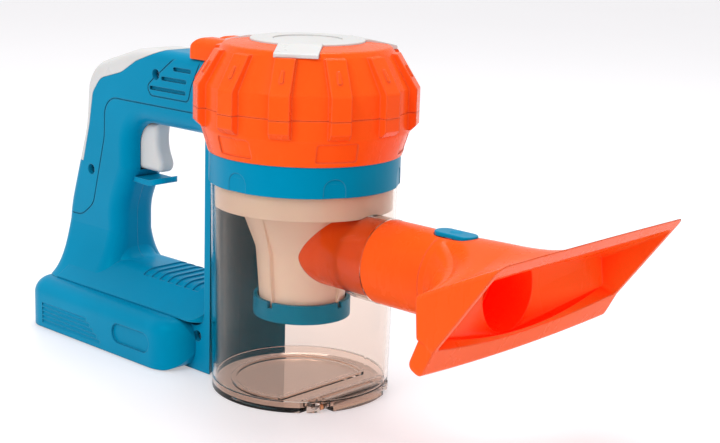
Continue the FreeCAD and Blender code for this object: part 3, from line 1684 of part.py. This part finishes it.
def nozzle_outer():
    """Outer form: a round neck that flares to a wide rear section and on to the slanted mouth."""
    neck_end = pipe_end + nozzle_straight
    neck = pipe_rod(nozzle_radius, pipe_end + spigot_gap, neck_end)
    waist = wide_section(
        [horn_waist_x, horn_waist_low], [horn_waist_x, horn_waist_top], horn_waist_half_width,
        [horn_waist_corner, horn_waist_corner], horn_waist_crown, horn_waist_sag)
    rear = wide_section(
        horn_rear_low, horn_rear_top, horn_rear_half_width, [mouth_corner, mouth_corner],
        horn_rear_crown, horn_rear_sag)
    mouth = mouth_section(
        nozzle_wall, lip_rise, [lip_corner, mouth_corner], lip_crown, horn_rear_sag, 0)
    low, high = mouth_line(nozzle_wall, lip_rise, 0)
    bend = wide_section(
        between(horn_rear_low, low, hood_bend_share), between(horn_rear_top, high, hood_bend_share),
        horn_rear_half_width, [mouth_corner, mouth_corner], hood_bend_crown, horn_rear_sag)
    horn = Part.makeLoft([round_section(nozzle_radius, neck_end), waist, rear], True, False)
    hood = Part.makeLoft([rear, bend, mouth], True, True)
    half = horn_rear_half_width
    profiles = []
    side = [foot_outline, foot_outline_radii]
    for y, (table, radii) in ((-half, side), (0, [foot_middle, foot_middle_radii]), (half, side)):
        profiles.append(rounded_edges(table, radii, lambda p: V(p.x, y, p.y)))
    foot = Part.makeLoft(profiles, True, False)
    low = foot_middle[2][1]
    top = mouth_top[1]
    view = front_slab(
        [[-half, low], [half, low], [half, top], [-half, top]],
        [foot_corner_radius, foot_corner_radius, 0, 0], pipe_end, mouth_top[0])
    return neck, horn, hood, foot.common(view)


def nozzle_hollow():
    """Hollow of the mouth, whose back wall slants forward from the round bore."""
    rear = wide_section(
        [hollow_rear_x, hollow_rear_low], [hollow_rear_x, hollow_rear_top], hollow_rear_half_width,
        [hollow_rear_corner, hollow_rear_corner], [], 0)
    middle = wide_section(
        hollow_low, hollow_top, hollow_half_width, [mouth_corner, mouth_corner], hollow_crown,
        mouth_sag)
    front = mouth_section(0, 0, [mouth_corner, mouth_corner], [], mouth_sag, hole_fit)
    return Part.makeLoft([rear, middle, front], True, True)


def make_nozzle():
    """Wide slanted nozzle with a raised upper lip, a flared foot and a round socket."""
    neck, horn, hood, foot = nozzle_outer()
    body = neck.fuse([horn, hood, foot])
    throat = spigot_end + seal_ring_width / 2
    bore_end = hollow_rear_x + overrun
    tools = [
        nozzle_hollow(), pipe_rod(pipe_bore, throat - overrun, bore_end),
        Part.makeCone(
            pipe_bore, bore_flare_radius, bore_end - throat, V(throat, 0, pipe_axis), V(1, 0, 0)),
        pipe_rod(spigot_radius + spigot_gap, pipe_end - overrun, throat),
        button_oval(curved_gap, pocket_floor, pipe_top + 2 * overrun),
        upright(button_stem_radius + hole_fit, pipe_axis, pipe_top, button_centre)]
    for tool in tools:
        body = body.cut(tool)
    return body


def make_button():
    """Oval release button with a finger dimple and a stem."""
    low = pocket_floor + button_rise
    cap = button_oval(0, low, low + button_height)
    cap = soften(
        cap, button_height / 3, lambda edge: edge.BoundBox.ZMin > low + button_height - hole_fit)
    stem = upright(button_stem_radius, low - 2 * button_rise, low, button_centre)
    ball = Part.makeSphere(
        button_dimple_radius,
        V(button_centre, 0, low + button_height + button_dimple_radius - button_dimple_depth))
    return cap.fuse(stem).cut(ball)


def make_button_spring():
    """Small coil under the button."""
    wire = button_spring_wire
    length = button_rise - 2 * wire - 2 * hole_fit
    start = V(button_centre, 0, pocket_floor + wire + hole_fit)
    return helix(button_spring_radius, wire, length, button_spring_turns, start, V(0, 0, 1))


handle_right, handle_left, handle_form = make_handle_shells()
save("handle_shell_right", handle_right)
save("handle_shell_left", handle_left)
save("rear_trim", make_rear_trim())
save("trigger", make_trigger())
save("trigger_pin", make_trigger_pin())
save("trigger_spring", make_trigger_spring())
save("trigger_switch", make_switch())
save("switch_wires", make_wires())
save("finger_guard", make_finger_guard())
save("side_screws", make_side_screws())
save("battery_case", make_battery_case(handle_form))
save("battery_door", make_battery_door())
save("battery_door_screw", make_door_screw())
save("battery_cells", make_cells())
save("battery_contacts", make_contacts())
save("battery_springs", make_battery_springs())
save("cap_lower", make_cap_lower(handle_form))
save("cap_upper", make_cap_upper(handle_form))
save("top_disc", make_top_disc())
save("motor_plate", make_motor_plate())
save("impeller", make_impeller())
save("motor_shaft", make_shaft())
save("motor_bracket", make_bracket())
save("motor_can", make_motor())
save("motor_screws", make_motor_screws())
save("bracket_screws", make_bracket_screws())
save("collar_ring", make_collar_ring())
save("bin_tube", make_bin_tube())
save("bin_seal", make_bin_seal())
save("cyclone_body", make_cyclone())
save("cyclone_ring", make_cone_ring())
save("filter_disc", make_filter_disc())
save("base_door", make_base_door())
save("hinge_block", make_hinge_block())
save("hinge_pin", make_hinge_pin())
save("door_spring", make_door_spring())
save("inlet_pipe", make_inlet_pipe())
save("nozzle_seal", make_pipe_seal())
save("nozzle", make_nozzle())
save("release_button", make_button())
save("button_spring", make_button_spring())
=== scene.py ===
import json
import math

import bpy
from mathutils import Matrix, Vector

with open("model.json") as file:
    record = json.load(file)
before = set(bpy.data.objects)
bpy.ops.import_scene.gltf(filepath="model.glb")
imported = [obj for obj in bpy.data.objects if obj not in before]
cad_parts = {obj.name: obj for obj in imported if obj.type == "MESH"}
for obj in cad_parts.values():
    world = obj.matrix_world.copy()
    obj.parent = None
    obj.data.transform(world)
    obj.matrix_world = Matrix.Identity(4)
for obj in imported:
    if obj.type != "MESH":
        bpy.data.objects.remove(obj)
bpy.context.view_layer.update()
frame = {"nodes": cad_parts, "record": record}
nodes = frame["nodes"]

# Camera: place and direction in metres, roll in degrees, lens and sensor in millimetres
camera_place = (0.52149, -0.52186, 0.26086)
camera_forward = (-0.66032, 0.71629, -0.22565)
camera_roll = 1.83
camera_lens = 71.8
camera_sensor = 36.0
camera_near = 0.01
camera_far = 50.0

# Studio: floor in metres, lamps in metres and watts
floor_reach = 6.0
floor_drop = 0.0004
floor_noise = {"scale": 3.0, "detail": 2.0}
floor_dark = (0.58, 0.575, 0.59, 1.0)
floor_pale = (0.62, 0.615, 0.63, 1.0)
floor_roughness = 0.35
floor_glow_color = (1.0, 0.98, 1.0, 1.0)
floor_glow = 0.40
surround_color = (1.0, 0.995, 1.0, 1.0)
surround_strength = 0.68
lamps = [
    {"name": "key", "place": (0.1, -1.2, 1.1), "target": (0, 0, 0.1), "size": 0.7, "power": 7.5},
    {"name": "fill", "place": (1.4, -0.3, 0.9), "target": (0.05, 0, 0.1), "size": 0.8, "power": 2.5},
    {"name": "top", "place": (-0.3, 0.4, 1.5), "target": (0, 0, 0.1), "size": 0.9, "power": 13}]

# Moulded plastic: noises in waves per metre, lengths in metres, the rest from 0 to 1
drift_noise = {"scale": 14.0, "detail": 2.0}
flow_noise = {"scale": 55.0, "detail": 4.0, "roughness": 0.6, "stretch": (1.0, 1.0, 0.35)}
grain_noise = {"scale": 2600.0, "detail": 2.0}
drift_shades = (0.94, 1.05)
streak_range = (0.45, 0.75)
streak_shade = 1.12
streak_weight = 0.25
grain_depth = 0.00008
worn_pale = 0.25
worn_weight = 0.12
gloss_range = (0.25, 0.75)
gloss_spread = (-0.05, 0.06)
plastic_ior = 1.45
glow_radius = (1.0, 0.5, 0.3)
glow_depth = 0.002
edge_samples = 6
edge_range = (1.0, 0.9)
# Painted shade in hollows: samples and occlusion range of its mask
hollow_shade_samples = 6
hollow_shade_range = (0.5, 0.15)

# Clear plastic
wave_noise = {"scale": 30.0, "detail": 1.0, "roughness": 0.5, "stretch": (1.0, 1.0, 0.4)}
wave_shades = (0.985, 1.0)
wave_strength = 0.05
wave_depth = 0.0004
scuff_noise = {"scale": 700.0, "detail": 3.0, "roughness": 0.7, "stretch": (1.0, 1.0, 0.06)}
scuff_range = (0.62, 0.8)
scuff_haze = 0.12

# Metal and rubber
drawn_noise = {"scale": 900.0, "detail": 4.0, "roughness": 0.6}
drawn_strength = 0.15
drawn_depth = 0.00005
drawn_spread = (-0.08, 0.1)
spot_noise = {"scale": 90.0, "detail": 3.0}
spot_shades = (0.85, 1.05)
rubber_noise = {"scale": 1800.0, "detail": 4.0}
rubber_strength = 0.3
rubber_depth = 0.0001
rubber_roughness = (0.6, 0.8)
dust_noise = {"scale": 60.0, "detail": 4.0}
dust_range = (0.4, 0.7)
dust_shade = 1.7
dust_weight = 0.5

# The part of a noise's range that carries a change from one value to another
patch_range = (0.3, 0.7)
full = (0.0, 1.0)


def aim_camera():
    """Camera at the photograph's viewing angle."""
    forward = Vector(camera_forward).normalized()
    right = forward.cross(Vector((0, 0, 1))).normalized()
    up = right.cross(forward)
    roll = math.radians(camera_roll)
    side = right * math.cos(roll) + up * math.sin(roll)
    top = up * math.cos(roll) - right * math.sin(roll)
    data = bpy.data.cameras.new("photo_camera")
    data.sensor_width = camera_sensor
    data.lens = camera_lens
    data.clip_start = camera_near
    data.clip_end = camera_far
    camera = bpy.data.objects.new("photo_camera", data)
    bpy.context.scene.collection.objects.link(camera)
    turn = Matrix((side, top, -forward)).transposed().to_4x4()
    camera.matrix_world = Matrix.Translation(camera_place) @ turn
    bpy.context.scene.camera = camera


# Shader helpers
def new_material(name):
    material = bpy.data.materials.new(name)
    material.use_nodes = True
    tree = material.node_tree
    return material, tree, tree.nodes["Principled BSDF"]


def object_coords(tree):
    return tree.nodes.new("ShaderNodeTexCoord").outputs["Object"]


def noise(tree, coords, scale, detail, roughness=0.5, stretch=None):
    node = tree.nodes.new("ShaderNodeTexNoise")
    node.inputs["Scale"].default_value = scale
    node.inputs["Detail"].default_value = detail
    node.inputs["Roughness"].default_value = roughness
    if stretch:
        mapping = tree.nodes.new("ShaderNodeMapping")
        mapping.inputs["Scale"].default_value = stretch
        tree.links.new(coords, mapping.inputs["Vector"])
        coords = mapping.outputs["Vector"]
    tree.links.new(coords, node.inputs["Vector"])
    return node.outputs["Fac"]


def ramp(tree, value, span, result=full):
    """Value stretched from one span to another, and kept inside it."""
    node = tree.nodes.new("ShaderNodeMapRange")
    node.inputs["From Min"].default_value = span[0]
    node.inputs["From Max"].default_value = span[1]
    node.inputs["To Min"].default_value = result[0]
    node.inputs["To Max"].default_value = result[1]
    tree.links.new(value, node.inputs["Value"])
    return node.outputs["Result"]


def blend_colors(tree, factor, first, second):
    """Mix of two colours, each a value or the output of a node."""
    node = tree.nodes.new("ShaderNodeMix")
    node.data_type = "RGBA"
    tree.links.new(factor, node.inputs[0])
    for socket, value in ((node.inputs[6], first), (node.inputs[7], second)):
        if isinstance(value, tuple):
            socket.default_value = value
        else:
            tree.links.new(value, socket)
    return node.outputs[2]


def shade(color, amount):
    return tuple(min(1.0, c * amount) for c in color[:3]) + (1.0,)


def patches(tree, value, color, shades):
    """A colour that drifts between two shades of itself."""
    factor = ramp(tree, value, patch_range)
    return blend_colors(tree, factor, shade(color, shades[0]), shade(color, shades[1]))


def around(level, spread):
    return level + spread[0], level + spread[1]


def edge_mask(tree, radius):
    """Normal that rounds the edges off, and how near an edge a spot lies."""
    bevel = tree.nodes.new("ShaderNodeBevel")
    bevel.samples = edge_samples
    bevel.inputs["Radius"].default_value = radius
    geometry = tree.nodes.new("ShaderNodeNewGeometry")
    dot = tree.nodes.new("ShaderNodeVectorMath")
    dot.operation = "DOT_PRODUCT"
    tree.links.new(bevel.outputs["Normal"], dot.inputs[0])
    tree.links.new(geometry.outputs["Normal"], dot.inputs[1])
    return bevel.outputs["Normal"], ramp(tree, dot.outputs["Value"], edge_range)


def hollow_shade_mask(tree, reach):
    """How far a spot lies inside hollows, from open to closed in; the mask for painted shade and painted
    glow.
    """
    node = tree.nodes.new("ShaderNodeAmbientOcclusion")
    node.samples = hollow_shade_samples
    node.inputs["Distance"].default_value = reach
    return ramp(tree, node.outputs["AO"], hollow_shade_range)


def bump(tree, height, strength, distance, normal=None):
    node = tree.nodes.new("ShaderNodeBump")
    node.inputs["Strength"].default_value = strength
    node.inputs["Distance"].default_value = distance
    tree.links.new(height, node.inputs["Height"])
    if normal is not None:
        tree.links.new(normal, node.inputs["Normal"])
    return node.outputs["Normal"]


# Materials
def plastic(name, color, gloss, grain, glow=0.0, edge=0.0007, shine=0.4, tint=None,
            painted_hollow_color=None, reach=0.004, painted_glow=0.0):
    """Moulded plastic: slow colour drift, flow marks, fine grain and slightly worn edges.

    Painted shade and painted light: hollows within reach of their walls are painted a darker or redder
    colour by an occlusion mask, and where set, give off a painted glow in that colour."""
    material, tree, bsdf = new_material(name)
    coords = object_coords(tree)
    flow = noise(tree, coords, **flow_noise)
    rounded, worn = edge_mask(tree, edge)
    base = patches(tree, noise(tree, coords, **drift_noise), color, drift_shades)
    streaks = ramp(tree, flow, streak_range, (0.0, streak_weight))
    mixed = blend_colors(tree, streaks, base, shade(color, streak_shade))
    pale = tuple(c * (1.0 - worn_pale) + worn_pale for c in color) + (1.0,)
    mixed = blend_colors(tree, ramp(tree, worn, full, (0.0, worn_weight)), mixed, pale)
    # Painted shade: spots in hollows are painted a darker or redder colour by an occlusion mask, and may
    # also give off a painted glow
    if painted_hollow_color:
        shade_in_hollows = hollow_shade_mask(tree, reach)
        mixed = blend_colors(tree, shade_in_hollows, mixed, painted_hollow_color + (1.0,))
        if painted_glow:
            bsdf.inputs["Emission Color"].default_value = painted_hollow_color + (1.0,)
            tree.links.new(ramp(tree, shade_in_hollows, full, (0.0, painted_glow)), bsdf.inputs["Emission Strength"])
    tree.links.new(mixed, bsdf.inputs["Base Color"])
    tree.links.new(ramp(tree, flow, gloss_range, around(gloss, gloss_spread)), bsdf.inputs["Roughness"])
    fine = noise(tree, coords, **grain_noise)
    tree.links.new(bump(tree, fine, grain, grain_depth, rounded), bsdf.inputs["Normal"])
    bsdf.inputs["IOR"].default_value = plastic_ior
    bsdf.inputs["Specular IOR Level"].default_value = shine
    if tint:
        bsdf.inputs["Specular Tint"].default_value = tint + (1.0,)
    if glow:
        bsdf.inputs["Subsurface Weight"].default_value = glow
        bsdf.inputs["Subsurface Radius"].default_value = glow_radius
        bsdf.inputs["Subsurface Scale"].default_value = glow_depth
    return material


def clear(name, color, rough, ior):
    """See-through moulded plastic with faint waves and hairline scuffs."""
    material, tree, bsdf = new_material(name)
    coords = object_coords(tree)
    waves = noise(tree, coords, **wave_noise)
    tree.links.new(patches(tree, waves, color, wave_shades), bsdf.inputs["Base Color"])
    scuffs = ramp(tree, noise(tree, coords, **scuff_noise), scuff_range, (rough, rough + scuff_haze))
    tree.links.new(scuffs, bsdf.inputs["Roughness"])
    tree.links.new(bump(tree, waves, wave_strength, wave_depth), bsdf.inputs["Normal"])
    bsdf.inputs["IOR"].default_value = ior
    bsdf.inputs["Transmission Weight"].default_value = 1.0
    return material


def metal(name, color, rough, lines):
    """Plain metal with fine drawn lines."""
    material, tree, bsdf = new_material(name)
    coords = object_coords(tree)
    drawn = noise(tree, coords, stretch=lines, **drawn_noise)
    spots = noise(tree, coords, **spot_noise)
    tree.links.new(patches(tree, spots, color, spot_shades), bsdf.inputs["Base Color"])
    tree.links.new(ramp(tree, drawn, patch_range, around(rough, drawn_spread)), bsdf.inputs["Roughness"])
    tree.links.new(bump(tree, drawn, drawn_strength, drawn_depth), bsdf.inputs["Normal"])
    bsdf.inputs["Metallic"].default_value = 1.0
    return material


def rubber(name, color):
    """Matt rubber with a fine grain and a little dust."""
    material, tree, bsdf = new_material(name)
    coords = object_coords(tree)
    grain = noise(tree, coords, **rubber_noise)
    dust = ramp(tree, noise(tree, coords, **dust_noise), dust_range, (0.0, dust_weight))
    base = blend_colors(tree, dust, color + (1.0,), shade(color, dust_shade))
    tree.links.new(base, bsdf.inputs["Base Color"])
    tree.links.new(ramp(tree, grain, patch_range, rubber_roughness), bsdf.inputs["Roughness"])
    tree.links.new(bump(tree, grain, rubber_strength, rubber_depth), bsdf.inputs["Normal"])
    return material


orange_look = {
    "color": (1.0, 0.105, 0.010), "gloss": 0.26, "grain": 0.05, "glow": 0.15, "edge": 0.0012,
    "shine": 0.18, "tint": (1.0, 0.4, 0.15)}
finishes = {
    # Teal: painted shade, a darker teal in hollows from an occlusion mask
    "teal_plastic": plastic(
        "teal_plastic", (0.0, 0.243, 0.43), 0.34, 0.10, shine=0.16, tint=(0.0, 0.9, 1.0),
        painted_hollow_color=(0.0, 0.03, 0.065)),
    "orange_plastic": plastic("orange_plastic", **orange_look),
    "white_plastic": plastic("white_plastic", (0.64, 0.635, 0.625), 0.3, 0.08, glow=0.1),
    "cream_plastic": plastic("cream_plastic", (1.0, 0.82, 0.68), 0.4, 0.12, glow=0.1),
    "dark_plastic": plastic("dark_plastic", (0.022, 0.022, 0.026), 0.45, 0.2),
    "grey_plastic": plastic("grey_plastic", (0.3, 0.3, 0.3), 0.45, 0.2),
    "cell_sleeve": plastic("cell_sleeve", (0.03, 0.04, 0.05), 0.25, 0.03),
    "wire_sleeve": plastic("wire_sleeve", (0.4, 0.02, 0.015), 0.4, 0.05),
    "clear_plastic": clear("clear_plastic", (0.94, 0.85, 0.795), 0.02, 1.2),
    "smoky_plastic": clear("smoky_plastic", (0.89, 0.72, 0.63), 0.03, 1.34),
    "steel": metal("steel", (0.56, 0.56, 0.58), 0.3, (1.0, 1.0, 0.1)),
    "nickel": metal("nickel", (0.72, 0.70, 0.66), 0.22, (1.0, 0.2, 1.0)),
    "copper_wire": metal("copper_wire", (0.80, 0.38, 0.20), 0.25, (0.3, 1.0, 1.0)),
    "seal_rubber": rubber("seal_rubber", (0.03, 0.03, 0.03))}

# Painted light: the nozzle's throat is painted red and given a painted glow (emission) where its walls
# close in, standing in for light bounced inside it
throat_painted_glow_orange = plastic(
    "mouth_orange_painted_glow", **orange_look, painted_hollow_color=(1.0, 0.004, 0.0), reach=0.05, painted_glow=0.5)

for part in frame["record"]["subparts"]:
    finish = throat_painted_glow_orange if part["node"] == "nozzle" else finishes[part["material_slot"]]
    slots = nodes[part["node"]].data.materials
    slots.clear()
    slots.append(finish)


# Floor, lamps and surroundings
def make_floor():
    mesh = bpy.data.meshes.new("studio_floor")
    corners = [(-1, -1), (1, -1), (1, 1), (-1, 1)]
    mesh.from_pydata([(x * floor_reach, y * floor_reach, 0) for x, y in corners], [], [(0, 1, 2, 3)])
    floor = bpy.data.objects.new("studio_floor", mesh)
    bpy.context.scene.collection.objects.link(floor)
    floor.location.z = -floor_drop
    material, tree, bsdf = new_material("studio_floor")
    soft = noise(tree, object_coords(tree), **floor_noise)
    tree.links.new(blend_colors(tree, soft, floor_dark, floor_pale), bsdf.inputs["Base Color"])
    bsdf.inputs["Roughness"].default_value = floor_roughness
    bsdf.inputs["Emission Color"].default_value = floor_glow_color
    bsdf.inputs["Emission Strength"].default_value = floor_glow
    floor.data.materials.append(material)


def area_light(name, place, target, size, power):
    data = bpy.data.lights.new(name, "AREA")
    data.shape = "DISK"
    data.size = size
    data.energy = power
    light = bpy.data.objects.new(name, data)
    bpy.context.scene.collection.objects.link(light)
    light.location = place
    aim = Vector(target) - Vector(place)
    light.rotation_euler = aim.to_track_quat("-Z", "Y").to_euler()


def surround():
    world = bpy.data.worlds.new("studio")
    world.use_nodes = True
    background = world.node_tree.nodes["Background"]
    background.inputs["Color"].default_value = surround_color
    background.inputs["Strength"].default_value = surround_strength
    bpy.context.scene.world = world


bpy.context.scene.view_settings.view_transform = "Standard"
aim_camera()
make_floor()
surround()
for lamp in lamps:
    area_light(**lamp)
